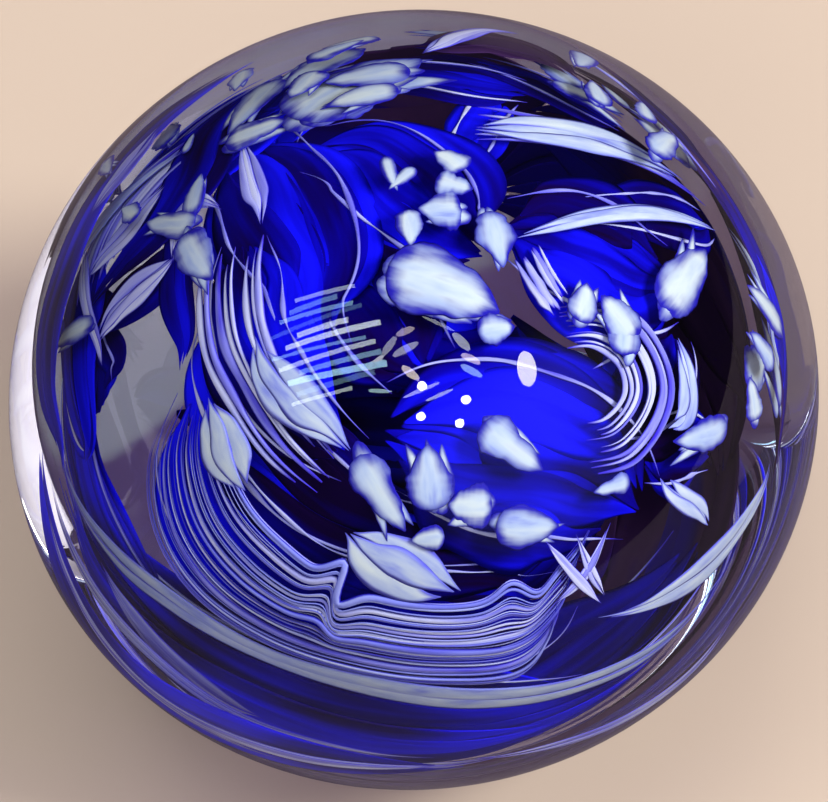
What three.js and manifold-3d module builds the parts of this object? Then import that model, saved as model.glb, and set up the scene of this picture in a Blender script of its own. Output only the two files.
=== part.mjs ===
// A solid art-glass paperweight, built up the way it is blown: a clear heart, a middle
// gather over it and a clear casing over that, with cobalt ribbons, white chips, white
// threads and a combed feather caught between the gathers. The ball is a slightly
// squashed sphere with a ground flat base.
// Millimetres, +Z up, origin at the centre of the base.
import * as THREE from 'three';
import { mergeVertices } from 'three/addons/utils/BufferGeometryUtils.js';
import Module from 'manifold-3d';

const wasm = await Module();
wasm.setup();

// ---------------------------------------------------------------- driving dimensions

const RADIUS = 40;                 // widest radius of the ball
const SEMI_HEIGHT = 35;            // from the ball's centre to its top
const CENTRE_HEIGHT = 30;          // from the ground base to the ball's centre
const GAP = 0.3;                   // clearance between solids that touch

const MIDDLE_SCALE = 0.64;         // the middle gather's size, as a share of the ball's
const HEART_SCALE = 0.36;          // the heart's size, as a share of the ball's
const MIDDLE_NECK_RADIUS = 8;      // necks that join each gather to the ground base
const HEART_NECK_RADIUS = 4;
const NECK_RECESS = 0.25;          // the necks end this far above the base plane
const BELOW_BASE = -1;             // a cut for a neck starts here, clear of the base plane

const HEART_FACETS = [16, 10];     // faces round a gather, and from its top to its bottom
const MIDDLE_FACETS = [24, 14];
const CASING_FACETS = [40, 22];
const NECK_SIDES = 16;

const CHIP_THICKNESS = 1.7;
const CHIP_LIFT = 1.3;             // middle of a chip above the gather's skin it lies on
const RIBBON_THICKNESS = 1.9;
const RIBBON_LIFT = -1.2;          // middle of a ribbon, sunk into that skin
const STRAND_THICKNESS = 1;
const STRAND_LIFT = 0.95;          // the same, for a strand
const FEATHER_THICKNESS = 0.9;
const FEATHER_LIFT = 0.85;
const POCKET_MOUTH = 0.5;          // how far a pocket is grown to break out of its skin
const CHIP_BLUNTNESS = 0.45;       // the lower it is, the blunter a piece's ends are
const STRAND_BLUNTNESS = 0.35;
const STRAND_SIDES = 6;            // faces round a chip, a ribbon or a strand
const FEATHER_SIDES = 8;
const CHIP_STEPS = 4;              // faces along a chip
const STEPS_A_PLACE = 2;           // faces along a strand for each of its places
const LENGTH_STEPS = 24;           // straight steps that a run is measured in
const SMALL_STEP = 1e-3;           // share of a run over which its heading is taken
const NEAR_ZERO = 1e-6;

// ---------------------------------------------------------------- where the colour lies
// A place is given by its bearing round the ball from +X towards +Y and its rise above
// the ball's equator, both in degrees. Lengths and widths are in millimetres.

// Cobalt ribbons sunk in the middle gather's skin, each as points of bearing, rise, width.
const OUTER_RIBBONS = [
  [[152, 12, 5], [163, 12, 8], [172, 13, 10], [-179, 14, 11], [-175, 15, 8]],
  [[158, 26, 6], [146, 31, 10], [132, 33, 12], [118, 33, 12], [106, 30, 9], [96, 24, 5]],
  [[160, 8, 4], [148, 8, 6], [134, 10, 7], [120, 12, 7], [106, 16, 5]],
  [[-176, -6, 6], [-162, -9, 9], [-142, -12, 11], [-120, -15, 12], [-100, -19, 12], [-84, -24, 9],
    [-70, -29, 5]],
  [[-157, 38, 5], [-147, 26, 11], [-134, 18, 13], [-120, 12, 13], [-105, 8, 13], [-90, 4, 14],
    [-78, 2, 13], [-69, 4, 6]],
  [[-174, 52, 3], [-160, 48, 8], [-145, 43, 9], [-130, 38, 9], [-118, 33, 9], [-105, 28, 7],
    [-90, 24, 6], [-76, 20, 5]],
  [[165, 60, 5], [-175, 59, 8], [-155, 55, 8], [-138, 51, 8], [-122, 46, 7], [-108, 41, 5]],
  [[126, 44, 10], [133, 56, 11], [148, 67, 13], [-172, 73, 11], [-142, 67, 7], [-122, 60, 5]],
  [[112, 60, 7], [92, 68, 11], [50, 78, 12], [-10, 76, 9], [-22, 67, 6]],
  [[104, 34, 4], [88, 34, 5], [72, 36, 7], [60, 35, 8], [50, 31, 6]],
  [[66, 20, 5], [54, 20, 7], [44, 20, 6], [36, 16, 4]],
  [[53, 38, 4], [51, 46, 4], [46, 57, 4], [38, 67, 3]],
  [[-6, 64, 7], [-8, 55, 12], [-9, 45, 14], [-10, 35, 13], [-8, 26, 8]],
  [[5, 46, 3], [7, 36, 4], [9, 26, 5], [11, 16, 5], [13, 10, 3]],
  [[-100, 46, 10], [-85, 44, 15], [-72, 38, 17], [-61, 30, 16], [-54, 20, 13], [-50, 10, 7]],
  [[-18, 24, 5], [-25, 23, 8], [-34, 26, 9], [-44, 32, 7]],
  [[-44, 17, 5], [-38, 13, 7], [-33, 8, 6], [-30, 2, 3]],
  [[-165, 78, 5], [-120, 76, 9], [-95, 67, 10], [-85, 57, 8]],
  [[176, -14, 7], [-168, -20, 10], [-150, -26, 12], [-130, -31, 12], [-110, -36, 12], [-90, -40, 12],
    [-72, -40, 9], [-58, -36, 5]],
  [[166, 16, 6], [175, 5, 10], [-175, -3, 12], [-163, -10, 13], [-148, -16, 12], [-132, -19, 10]],
  [[-170, -42, 12], [-130, -50, 14], [-90, -53, 14], [-50, -50, 14], [-20, -42, 10]],
  [[124, 54, 5], [115, 44, 9], [107, 32, 9], [100, 20, 6]],
  [[72, -30, 5], [56, -26, 12], [40, -28, 15], [24, -30, 15], [8, -32, 14], [-8, -36, 10]],
  [[66, -14, 4], [50, -14, 8], [30, -17, 10], [12, -19, 10], [-4, -22, 8]],
  [[22, -46, 8], [0, -50, 12], [-25, -54, 14], [-55, -62, 12]],
];

// Strands of white drawn out over the ribbons, in the same form.
const OUTER_STRANDS = [
  // the long strand that rings the ball low down
  [[172, 4, 1], [-172, 0, 1.6], [-157, 0, 2.8], [-142, 1, 2.6], [-124, -1, 1.6], [-106, -5, 2],
    [-88, -12, 2.4], [-72, -18, 2.6], [-54, -22, 3.2], [-36, -19, 1]],
  [[-16, -13, 1], [-22, -15, 1.8], [-31, -14, 2], [-41, -12, 2.4], [-50, -9, 2], [-58, -6, 1.2],
    [-67, -1, 0.8]],
  [[-14, 63, 1], [-4, 54, 1.2], [2, 44, 1.4], [6, 33, 1.4], [8, 22, 1.2], [9, 13, 1]],
  [[-152, 57, 1.2], [-140, 53, 2.6], [-128, 50, 3], [-117, 47, 2.2], [-108, 43, 1]],
  [[46, 58, 1.5], [36, 50, 2.4], [29, 40, 2.8], [24, 30, 2.6], [18, 17, 1.6]],
  [[-151, 42, 1.2], [-143, 38, 3], [-137, 34, 3], [-131, 31, 1.2]],
  [[-109, 29, 1], [-103, 25, 3.2], [-96, 20, 3.8], [-88, 15, 2]],
  [[-21, 27, 1.2], [-27, 21, 1.8], [-33, 18, 1.8], [-38, 20, 1.2]],
  [[-45, 15, 2], [-44, 9, 1.6], [-41, 2, 1.4], [-40, -3, 1]],
  [[12, 8, 1.2], [8, 2, 1.4], [3, -3, 1.4], [-3, -6, 2.4], [-10, -8, 2.4]],
  [[131, 34, 1], [139, 25, 1.4], [146, 16, 2.2], [155, 8, 1.6]],
];

// White chips on the middle gather: bearing, rise, turn from due east towards the top,
// length and width.
const OUTER_CHIPS = [
  [90, 47, 22, 13, 8],
  [95, 34, 33, 9, 4.5],
  [113, 38, 35, 9, 3.5],
  [136, 10, 55, 9, 3],
  [69, 20, -10, 9, 3],
  [48, 24, -20, 6, 3],
  [41, 27, 30, 7, 2.5],
  [28, 15, 35, 6, 3.5],
  [-62, 72, -52, 11, 6],
  [-15, 67, 20, 6, 3],
  [-102, 37, -62, 8, 3],
  [-90, 37, 85, 6, 3.5],
  [-74, 24, -26, 6, 3.5],
  [-70, 39, -69, 7, 3],
  [-9, 27, -30, 11, 4],
  [-32, 12, -34, 8, 2.5],
  [168, 17, 70, 9, 2],
  [155, 44, 80, 7, 2.5],
];

// The combed feather, laid over its veil.
const FEATHER = [[-156, 38, 4], [-145, 25, 9], [-131, 17, 11], [-115, 11, 12], [-98, 6, 12],
  [-84, 2, 12], [-75, 2, 7]];

// Deeper colour on the heart, under the rest.
const INNER_RIBBONS = [
  [[-150, 30, 4], [-110, 45, 7], [-60, 40, 7], [-20, 20, 4]],
  [[0, 40, 4], [50, 35, 7], [100, 30, 7], [140, 10, 4]],
];

// ---------------------------------------------------------------- materials

const clearGlass = glass('clear glass', 0xf2f6f4, 0.25);
const cobaltGlass = glass('cobalt glass', 0x0d12b8, 0.85);
const opalGlass = glass('opal white glass', 0xe4edf2, 1);
const featherGlass = glass('combed white on cobalt glass', 0x7f93dd, 1);

function glass(name, color, opacity) {
  const material = new THREE.MeshStandardMaterial({ name, color, roughness: 0.05, metalness: 0 });
  material.transparent = opacity < 1;
  material.opacity = opacity;
  return material;
}

// ---------------------------------------------------------------- solids

function solidOf(geometry) {
  const bare = geometry.clone();
  bare.deleteAttribute('normal');
  bare.deleteAttribute('uv');
  const merged = mergeVertices(bare);
  return new wasm.Manifold(new wasm.Mesh({
    numProp: 3,
    vertProperties: new Float32Array(merged.attributes.position.array),
    triVerts: new Uint32Array(merged.index.array),
  }));
}

// Two pockets side by side can cut a crumb of glass loose, which is left out.
function largestPart(solid) {
  const parts = solid.decompose();
  parts.sort((a, b) => b.volume() - a.volume());
  return parts[0];
}

function geometryOf(solid) {
  const mesh = solid.getMesh();
  const geometry = new THREE.BufferGeometry();
  geometry.setAttribute('position', new THREE.Float32BufferAttribute(mesh.vertProperties, 3));
  geometry.setIndex(new THREE.Uint32BufferAttribute(mesh.triVerts, 1));
  geometry.computeVertexNormals();
  return geometry;
}

// The ball's shape at a given scale, grown by a clearance.
function spheroid(scale, grow, facets) {
  const geometry = new THREE.SphereGeometry(1, ...facets);
  geometry.rotateX(Math.PI / 2);
  const across = RADIUS * scale + grow;
  geometry.scale(across, across, SEMI_HEIGHT * scale + grow);
  geometry.translate(0, 0, CENTRE_HEIGHT);
  return solidOf(geometry);
}

// A round post from one height to another, on the vertical axis.
function post(radius, bottom, top) {
  const geometry = new THREE.CylinderGeometry(radius, radius, top - bottom, NECK_SIDES);
  geometry.rotateX(Math.PI / 2);
  geometry.translate(0, 0, (top + bottom) / 2);
  return solidOf(geometry);
}

// Everything below the base plane, which the ball's foot is ground away to.
function belowBase() {
  const geometry = new THREE.BoxGeometry(RADIUS * 2, RADIUS * 2, RADIUS);
  geometry.translate(0, 0, -RADIUS / 2);
  return solidOf(geometry);
}

// ---------------------------------------------------------------- places on a gather

function direction([bearing, rise]) {
  const round = THREE.MathUtils.degToRad(bearing);
  const up = THREE.MathUtils.degToRad(rise);
  return new THREE.Vector3(
    Math.cos(up) * Math.cos(round),
    Math.cos(up) * Math.sin(round),
    Math.sin(up),
  );
}

// The distance from the ball's centre to its surface along a direction.
function reach(along) {
  const flat = along.x * along.x + along.y * along.y;
  return 1 / Math.sqrt(flat / RADIUS ** 2 + along.z ** 2 / SEMI_HEIGHT ** 2);
}

// A straight run on the gather, as a function from 0 to 1 to a direction.
function straightRun([bearing, rise, turn, length], scale) {
  const middle = direction([bearing, rise]);
  const east = new THREE.Vector3(0, 0, 1).cross(middle).normalize();
  const north = middle.clone().cross(east);
  const angle = THREE.MathUtils.degToRad(turn);
  const heading = east.multiplyScalar(Math.cos(angle)).addScaledVector(north, Math.sin(angle));
  const span = length / (reach(middle) * scale);
  return (t) => {
    const along = (t - 0.5) * span;
    return middle.clone().multiplyScalar(Math.cos(along)).addScaledVector(heading, Math.sin(along));
  };
}

// The width part way along a curved run.
function widthAlong(places, t) {
  const at = THREE.MathUtils.clamp(t, 0, 1) * (places.length - 1);
  const before = Math.min(Math.floor(at), places.length - 2);
  return THREE.MathUtils.lerp(places[before][2], places[before + 1][2], at - before);
}

// A curved run through a list of places, in the same form.
function curvedRun(places) {
  const curve = new THREE.CatmullRomCurve3(places.map(direction), false, 'centripetal');
  return (t) => {
    const inside = THREE.MathUtils.clamp(t, 0, 1);
    const point = curve.getPoint(inside);
    return point.addScaledVector(curve.getTangent(inside), t - inside).normalize();
  };
}

function runLength(run, scale) {
  let length = 0;
  for (let i = 0; i < LENGTH_STEPS; i += 1) {
    const start = run(i / LENGTH_STEPS);
    const end = run((i + 1) / LENGTH_STEPS);
    length += start.angleTo(end) * reach(start) * scale;
  }
  return length;
}

// A lens-shaped strand laid along a run. Its ends are drawn to a point, and it bends
// with the gather both along and across. grow swells it all round to cut its pocket.
function strand(run, shape, grow) {
  const { widthAt, thickness, lift, scale, sides, steps, bluntness } = shape;
  const stretch = grow > 0 ? GAP / runLength(run, scale) : 0;
  const flatHeight = sides % 4 === 0 ? 1 : Math.cos(Math.PI / sides);
  const geometry = new THREE.SphereGeometry(1, sides, steps);
  const position = geometry.attributes.position;
  const corner = new THREE.Vector3();
  for (let i = 0; i < position.count; i += 1) {
    corner.fromBufferAttribute(position, i);
    const share = 1 - Math.acos(THREE.MathUtils.clamp(corner.y, -1, 1)) / Math.PI;
    const ring = Math.hypot(corner.x, corner.z);
    const fullness = Math.sin(share * Math.PI) ** bluntness;
    const sideways = ring > NEAR_ZERO ? corner.x / ring : 0;
    const upright = ring > NEAR_ZERO ? corner.z / (ring * flatHeight) : 0;
    const t = share * (1 + 2 * stretch) - stretch;
    const ahead = run(t);
    const tangent = run(t + SMALL_STEP).sub(run(t - SMALL_STEP)).normalize();
    const side = tangent.cross(ahead).normalize();
    const across = sideways * (fullness * widthAt(share) / 2 + (grow > 0 ? GAP : 0));
    const height = lift + upright * (Math.sqrt(fullness) * thickness / 2 + grow);
    const lean = across / (reach(ahead) * scale);
    const outward = ahead.multiplyScalar(Math.cos(lean)).addScaledVector(side, Math.sin(lean));
    const distance = reach(outward) * scale + height;
    position.setXYZ(
      i,
      outward.x * distance,
      outward.y * distance,
      outward.z * distance + CENTRE_HEIGHT,
    );
  }
  return solidOf(geometry);
}

// ---------------------------------------------------------------- laying the colour

const paperweight = new THREE.Group();
paperweight.name = 'paperweight';

function addPiece(name, solid, material) {
  const mesh = new THREE.Mesh(geometryOf(solid), material);
  mesh.name = name;
  paperweight.add(mesh);
}

// A skin collects the pieces laid on one side of a gather and the pockets they lie in.
// A later piece gives way to an earlier one where they meet, and keeps its largest part.
function layOn(skin, name, run, shape, material) {
  const pocket = strand(run, shape, POCKET_MOUTH);
  let piece = strand(run, shape, 0);
  for (const earlier of skin) {
    if (piece.intersect(earlier).volume() > 0) {
      piece = largestPart(piece.subtract(earlier));
    }
  }
  skin.push(pocket);
  addPiece(name, piece, material);
}

function numbered(word, index) {
  return `${word}_${String(index + 1).padStart(2, '0')}`;
}

function layChips(skin, word, chips, scale) {
  chips.forEach((chip, index) => {
    const shape = {
      widthAt: () => chip[4],
      thickness: CHIP_THICKNESS,
      lift: CHIP_LIFT,
      scale,
      sides: STRAND_SIDES,
      steps: CHIP_STEPS,
      bluntness: CHIP_BLUNTNESS,
    };
    layOn(skin, numbered(word, index), straightRun(chip, scale), shape, opalGlass);
  });
}

function layRuns(skin, word, runs, shape, material) {
  runs.forEach((places, index) => {
    const steps = STEPS_A_PLACE * places.length;
    const own = { ...shape, widthAt: (t) => widthAlong(places, t), steps };
    const name = runs.length > 1 ? numbered(word, index) : word;
    layOn(skin, name, curvedRun(places), own, material);
  });
}

const ribbonOn = (scale) => ({
  thickness: RIBBON_THICKNESS,
  lift: RIBBON_LIFT,
  scale,
  sides: STRAND_SIDES,
  bluntness: STRAND_BLUNTNESS,
});
const strandOver = {
  thickness: STRAND_THICKNESS,
  lift: STRAND_LIFT,
  scale: MIDDLE_SCALE,
  sides: STRAND_SIDES,
  bluntness: STRAND_BLUNTNESS,
};
const featherOver = {
  thickness: FEATHER_THICKNESS,
  lift: FEATHER_LIFT,
  scale: MIDDLE_SCALE,
  sides: FEATHER_SIDES,
  bluntness: STRAND_BLUNTNESS,
};

const underCasing = [];
const onMiddle = [];
const onHeart = [];
layRuns(underCasing, 'combed_feather', [FEATHER], featherOver, featherGlass);
layChips(underCasing, 'white_chip', OUTER_CHIPS, MIDDLE_SCALE);
layRuns(underCasing, 'white_strand', OUTER_STRANDS, strandOver, opalGlass);
layRuns(onMiddle, 'blue_ribbon', OUTER_RIBBONS, ribbonOn(MIDDLE_SCALE), cobaltGlass);
layRuns(onHeart, 'heart_ribbon', INNER_RIBBONS, ribbonOn(HEART_SCALE), cobaltGlass);

// ---------------------------------------------------------------- the three gathers

function cutPockets(solid, pockets) {
  return largestPart(pockets.reduce((rest, pocket) => rest.subtract(pocket), solid));
}

function heart() {
  const body = spheroid(HEART_SCALE, 0, HEART_FACETS)
    .add(post(HEART_NECK_RADIUS, NECK_RECESS, CENTRE_HEIGHT));
  return cutPockets(body, onHeart);
}

function middleGather() {
  const body = spheroid(MIDDLE_SCALE, 0, MIDDLE_FACETS)
    .add(post(MIDDLE_NECK_RADIUS, NECK_RECESS, CENTRE_HEIGHT))
    .subtract(spheroid(HEART_SCALE, GAP, HEART_FACETS))
    .subtract(post(HEART_NECK_RADIUS + GAP, BELOW_BASE, CENTRE_HEIGHT));
  return cutPockets(body, onMiddle);
}

function casing() {
  const body = spheroid(1, 0, CASING_FACETS)
    .subtract(belowBase())
    .subtract(spheroid(MIDDLE_SCALE, GAP, MIDDLE_FACETS))
    .subtract(post(MIDDLE_NECK_RADIUS + GAP, BELOW_BASE, CENTRE_HEIGHT));
  return cutPockets(body, underCasing);
}

addPiece('clear_heart', heart(), clearGlass);
addPiece('middle_gather', middleGather(), clearGlass);
addPiece('clear_casing', casing(), clearGlass);

export default paperweight;
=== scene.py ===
import math
import random

import bpy
from mathutils import Matrix, Vector, noise


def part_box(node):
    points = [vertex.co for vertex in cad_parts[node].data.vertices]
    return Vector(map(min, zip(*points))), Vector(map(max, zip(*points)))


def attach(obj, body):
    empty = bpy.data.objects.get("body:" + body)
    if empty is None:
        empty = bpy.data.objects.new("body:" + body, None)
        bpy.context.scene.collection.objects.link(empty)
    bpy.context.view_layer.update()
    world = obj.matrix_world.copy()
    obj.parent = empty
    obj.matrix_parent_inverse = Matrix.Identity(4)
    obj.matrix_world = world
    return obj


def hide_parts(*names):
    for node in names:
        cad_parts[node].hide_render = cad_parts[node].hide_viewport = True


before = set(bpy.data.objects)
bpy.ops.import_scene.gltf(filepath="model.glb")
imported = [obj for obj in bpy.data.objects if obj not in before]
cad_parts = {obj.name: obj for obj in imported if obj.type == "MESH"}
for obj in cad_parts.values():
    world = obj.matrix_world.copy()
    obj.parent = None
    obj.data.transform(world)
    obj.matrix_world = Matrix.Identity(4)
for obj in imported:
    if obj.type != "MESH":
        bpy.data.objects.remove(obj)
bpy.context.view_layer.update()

MM = 0.001

# ---------------------------------------------------------------- the ball's shape, from the frame
# The ball is a squashed sphere with its foot ground flat: its box gives its width and its top.

low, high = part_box("clear_casing")
RADIUS = (high.x - low.x) / 2
SQUASH = 0.875           # the sphere's height as a share of its width
SEMI_HEIGHT = SQUASH * RADIUS
CENTRE = Vector((0, 0, high.z - SEMI_HEIGHT))
# The foot's edge is rounded off, from its flat up to this angle above it.
EDGE_ROUNDING = 0.7 * MM
EDGE_ANGLE = 0.016
BALL_ROWS, BALL_TURNS = 120, 220

# ---------------------------------------------------------------- where the colour lies
# A place is a bearing round the ball from +X towards +Y and a rise above its equator, in
# degrees, and mostly a width too. Widths and lengths are in millimetres. A scale is the size of
# the shell that a piece lies on, as a share of the ball's. The first three lists repeat the CAD's.

MIDDLE_SCALE = 0.64
DEEP_SCALE = 0.44

BLUE_RIBBONS = [
    # round the left of the ball
    [(152, 12, 5), (163, 12, 8), (172, 13, 10), (-179, 14, 11), (-175, 15, 8)],
    [(158, 26, 6), (146, 31, 10), (132, 33, 12), (118, 33, 12), (106, 30, 9), (96, 24, 5)],
    [(160, 8, 4), (148, 8, 6), (134, 10, 7), (120, 12, 7), (106, 16, 5)],
    # the low ring round the front
    [(-176, -6, 6), (-162, -9, 9), (-142, -12, 11), (-120, -15, 12), (-100, -19, 12), (-84, -24, 9),
     (-70, -29, 5)],
    # petals that turn in from the left, from the feather's veil to the crown
    [(-157, 38, 5), (-147, 26, 11), (-134, 18, 13), (-120, 12, 13), (-105, 8, 13), (-90, 4, 14),
     (-78, 2, 13), (-69, 4, 6)],
    [(-174, 52, 3), (-160, 48, 8), (-145, 43, 9), (-130, 38, 9), (-118, 33, 9), (-105, 28, 7),
     (-90, 24, 6), (-76, 20, 5)],
    [(165, 60, 5), (-175, 59, 8), (-155, 55, 8), (-138, 51, 8), (-122, 46, 7), (-108, 41, 5)],
    [(126, 44, 10), (133, 56, 11), (148, 67, 13), (-172, 73, 11), (-142, 67, 7), (-122, 60, 5)],
    [(112, 60, 7), (92, 68, 11), (50, 78, 12), (-10, 76, 9), (-22, 67, 6)],
    # the far side
    [(104, 34, 4), (88, 34, 5), (72, 36, 7), (60, 35, 8), (50, 31, 6)],
    [(66, 20, 5), (54, 20, 7), (44, 20, 6), (36, 16, 4)],
    [(53, 38, 4), (51, 46, 4), (46, 57, 4), (38, 67, 3)],
    # the wing on the right
    [(-6, 64, 7), (-8, 55, 12), (-9, 45, 14), (-10, 35, 13), (-8, 26, 8)],
    [(5, 46, 3), (7, 36, 4), (9, 26, 5), (11, 16, 5), (13, 10, 3)],
    # the middle of the front and the streaks to its right
    [(-100, 46, 10), (-85, 44, 15), (-72, 38, 17), (-61, 30, 16), (-54, 20, 13), (-50, 10, 7)],
    [(-18, 24, 5), (-25, 23, 8), (-34, 26, 9), (-44, 32, 7)],
    [(-44, 17, 5), (-38, 13, 7), (-33, 8, 6), (-30, 2, 3)],
    [(-165, 78, 5), (-120, 76, 9), (-95, 67, 10), (-85, 57, 8)],
    # the lowest rings, under the front and the left
    [(176, -14, 7), (-168, -20, 10), (-150, -26, 12), (-130, -31, 12), (-110, -36, 12), (-90, -40, 12),
     (-72, -40, 9), (-58, -36, 5)],
    [(166, 16, 6), (175, 5, 10), (-175, -3, 12), (-163, -10, 13), (-148, -16, 12), (-132, -19, 10)],
    [(-170, -42, 12), (-130, -50, 14), (-90, -53, 14), (-50, -50, 14), (-20, -42, 10)],
    [(124, 54, 5), (115, 44, 9), (107, 32, 9), (100, 20, 6)],
    # low on the far side, behind the clear windows on the right: cobalt ribbons coloured near black as
    # painted shade
    [(72, -30, 5), (56, -26, 12), (40, -28, 15), (24, -30, 15), (8, -32, 14), (-8, -36, 10)],
    [(66, -14, 4), (50, -14, 8), (30, -17, 10), (12, -19, 10), (-4, -22, 8)],
    [(22, -46, 8), (0, -50, 12), (-25, -54, 14), (-55, -62, 12)],
]
# The last of the ribbons take a near-black copy of the cobalt glass, painted shade for the unlit far side.
SHADED_RIBBONS = 3

WHITE_STRANDS = [
    [(172, 4, 1), (-172, 0, 1.6), (-157, 0, 2.8), (-142, 1, 2.6), (-124, -1, 1.6), (-106, -5, 2),
     (-88, -12, 2.4), (-72, -18, 2.6), (-54, -22, 3.2), (-36, -19, 1)],
    [(-16, -13, 1), (-22, -15, 1.8), (-31, -14, 2), (-41, -12, 2.4), (-50, -9, 2), (-58, -6, 1.2),
     (-67, -1, 0.8)],
    [(-14, 63, 1), (-4, 54, 1.2), (2, 44, 1.4), (6, 33, 1.4), (8, 22, 1.2), (9, 13, 1)],
    [(-152, 57, 1.2), (-140, 53, 2.6), (-128, 50, 3), (-117, 47, 2.2), (-108, 43, 1)],
    [(46, 58, 1.5), (36, 50, 2.4), (29, 40, 2.8), (24, 30, 2.6), (18, 17, 1.6)],
    [(-151, 42, 1.2), (-143, 38, 3), (-137, 34, 3), (-131, 31, 1.2)],
    [(-109, 29, 1), (-103, 25, 3.2), (-96, 20, 3.8), (-88, 15, 2)],
    [(-21, 27, 1.2), (-27, 21, 1.8), (-33, 18, 1.8), (-38, 20, 1.2)],
    [(-45, 15, 2), (-44, 9, 1.6), (-41, 2, 1.4), (-40, -3, 1)],
    [(12, 8, 1.2), (8, 2, 1.4), (3, -3, 1.4), (-3, -6, 2.4), (-10, -8, 2.4)],
    [(131, 34, 1), (139, 25, 1.4), (146, 16, 2.2), (155, 8, 1.6)],
]

# A chip is a bearing, a rise, a turn from due east towards the top, a length and a width.
WHITE_CHIPS = [
    (90, 47, 22, 13, 8),
    (95, 34, 33, 9, 4.5),
    (113, 38, 35, 9, 3.5),
    (136, 10, 55, 9, 3),
    (69, 20, -10, 9, 3),
    (48, 24, -20, 6, 3),
    (41, 27, 30, 7, 2.5),
    (28, 15, 35, 6, 3.5),
    (-62, 72, -52, 11, 6),
    (-15, 67, 20, 6, 3),
    (-102, 37, -62, 8, 3),
    (-90, 37, 85, 6, 3.5),
    (-74, 24, -26, 6, 3.5),
    (-70, 39, -69, 7, 3),
    (-9, 27, -30, 11, 4),
    (-32, 12, -34, 8, 2.5),
    (168, 17, 70, 9, 2),
    (155, 44, 80, 7, 2.5),
]

# Small chips that lie between the large ones.
SMALL_CHIPS = [
    (3, 77, 84, 4, 3.5),
    (-29, 47, 0, 4, 2.5),
    (-55, 58, -30, 3.5, 2.5),
    (-82, 31, -16, 4, 3.5),
    (-13, 4, -48, 5, 3.5),
    (-27, 39, 60, 5, 3.5),
    (122, 48, -39, 6, 3.5),
    (127, 22, 62, 5, 2.5),
    (38, 69, -3, 3.5, 2.5),
    (24, 73, 40, 3.5, 2.5),
    (-54, 21, -20, 4, 1.5),
    (88, 24, 10, 5, 2.5),
    (72, 77, -73, 4.5, 1.2),
    (57, 78, 72, 3.5, 1.2),
    (-20, 84, 20, 4, 2),
    (-92, 27, -11, 3, 2),
    (-30, 37, 20, 4, 3),
    (-7, -5, 60, 8, 2),
    (-12, -5, 80, 6, 1.2),
    (130, 34, 30, 3, 0.9),
    (40, 17, -30, 4, 1.5),
    (32, 11, 20, 6, 2),
    (147, 47, 20, 5, 2),
    (163, 6, 70, 8, 2),
]

# Fine lines are ruled between an inner and an outer edge, for the feather and the other bands.
FEATHER = {
    "inner": [(-148, 42), (-140, 36), (-130, 29), (-120, 24), (-112, 20), (-102, 16), (-90, 13),
              (-79, 12), (-68, 14), (-60, 18)],
    "outer": [(-158, 36), (-156, 24), (-149, 13), (-139, 6), (-125, 2), (-110, -1), (-95, -5),
              (-82, -8), (-76, -2), (-73, 7)],
}
BANDS = [
    # name, inner edge, outer edge, lines, narrowest, widest
    ("low_ring", [(178, 2), (-172, -5), (-158, -10), (-140, -15), (-120, -19), (-100, -23), (-85, -28),
                  (-72, -32)],
     [(178, -8), (-168, -16), (-152, -22), (-135, -28), (-118, -33), (-100, -38), (-85, -42),
      (-70, -44)], 7, 0.15, 0.6),
    ("pale_band", [(52, 50), (40, 44), (32, 36), (25, 27), (18, 17)],
     [(44, 60), (34, 52), (27, 43), (22, 32), (15, 10)], 7, 0.3, 1.2),
    ("petal_lines", [(165, 66), (-175, 64), (-155, 60), (-138, 55), (-122, 48), (-112, 42)],
     [(170, 52), (-178, 50), (-160, 46), (-145, 43), (-130, 38), (-115, 33)], 8, 0.2, 0.8),
    ("loops", [(-44, 46), (-37, 41), (-36, 35), (-40, 31), (-47, 31), (-53, 34)],
     [(-34, 52), (-24, 42), (-23, 32), (-31, 22), (-46, 20), (-58, 25)], 9, 0.25, 0.9),
    ("fan", [(-12, 58), (-22, 54), (-28, 49)], [(-22, 62), (-32, 56), (-36, 50)], 6, 0.3, 1.0),
    ("left_streaks", [(124, 40), (135, 34), (148, 28), (160, 25)],
     [(128, 26), (140, 18), (150, 14), (163, 14)], 8, 0.4, 1.6),
]

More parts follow.
